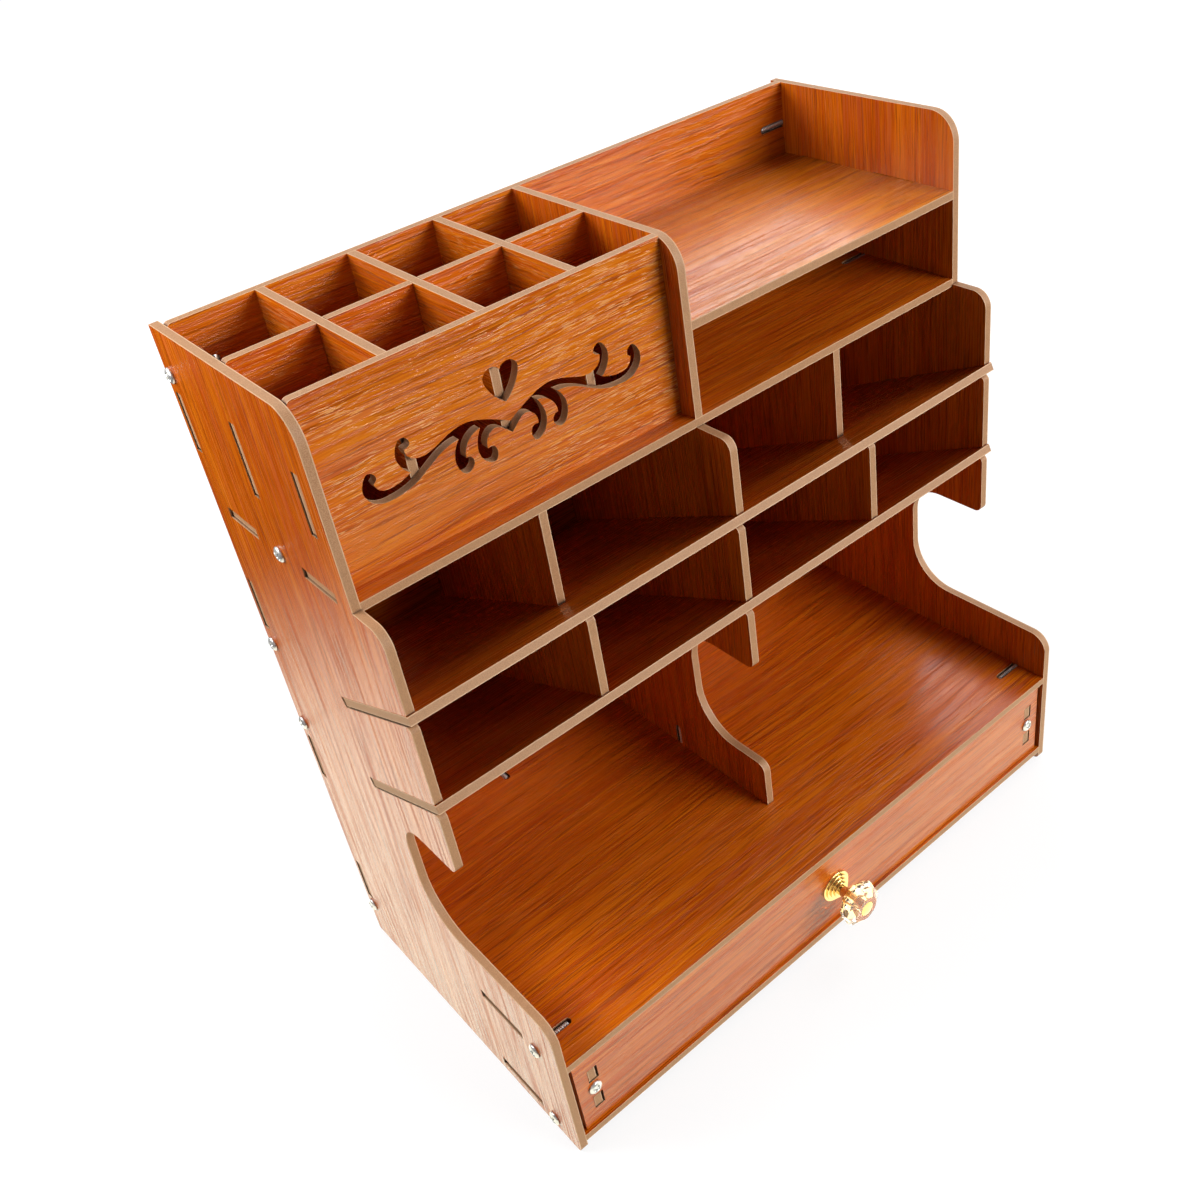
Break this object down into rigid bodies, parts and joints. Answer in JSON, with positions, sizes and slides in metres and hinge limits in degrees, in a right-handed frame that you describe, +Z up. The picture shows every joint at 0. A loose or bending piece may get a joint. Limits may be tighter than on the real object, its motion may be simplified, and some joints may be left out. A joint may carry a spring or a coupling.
{
  "type": "desk organizer",
  "caption": "Flat-pack wooden desk organizer with pen cells, a top tray, sloping pigeonholes, an open desk space and a sliding drawer.",
  "frame": {"origin": "middle of the bounding box on the surface that it stands on", "axes": "+X to the object's right as seen from its front, the front faces -Y, +Z up"},
  "size_m": [0.3342, 0.1956, 0.3486],
  "materials": {
    "board_upright": "semi-gloss cherry laminate, grain upright",
    "board_lying": "semi-gloss cherry laminate, grain along the width",
    "screw_steel": "bright zinc plate",
    "knob_gold": "polished gold plate",
    "knob_glass": "clear faceted"
  },
  "bodies": {
    "case": {"left_side_panel": "board_upright", "right_side_panel": "board_upright", "lower_middle_panel": "board_upright", "upper_middle_panel": "board_upright", "upper_back_panel": "board_lying", "lower_back_panel": "board_lying", "pen_floor_shelf": "board_lying", "tray_shelf": "board_lying", "upper_sloping_shelf": "board_lying", "lower_sloping_shelf": "board_lying", "desk_shelf": "board_lying", "bottom_board": "board_lying", "upper_hole_divider_left": "board_upright", "upper_hole_divider_right": "board_upright", "lower_hole_divider_left": "board_upright", "lower_hole_divider_right": "board_upright", "pen_front_panel": "board_lying", "pen_long_divider": "board_lying", "pen_cross_divider_1": "board_upright", "pen_cross_divider_2": "board_upright", "pen_cross_divider_3": "board_upright", "left_screws": "screw_steel", "right_screws": "screw_steel", "rear_screws": "screw_steel", "foot_screw": "screw_steel"},
    "drawer": {"drawer_front": "board_lying", "drawer_side_left": "board_lying", "drawer_side_right": "board_lying", "drawer_back": "board_lying", "drawer_floor": "board_lying", "knob_rosette": "knob_gold", "knob_stem": "knob_gold", "knob_crystal": "knob_glass", "knob_cap": "knob_gold", "knob_screw": "screw_steel", "drawer_screws": "screw_steel"}
  },
  "joints": [
    {"name": "drawer_slide", "type": "slide", "parent": "case", "child": "drawer", "axis": [0, -1, 0], "range_m": [0, 0.12]}
  ]
}
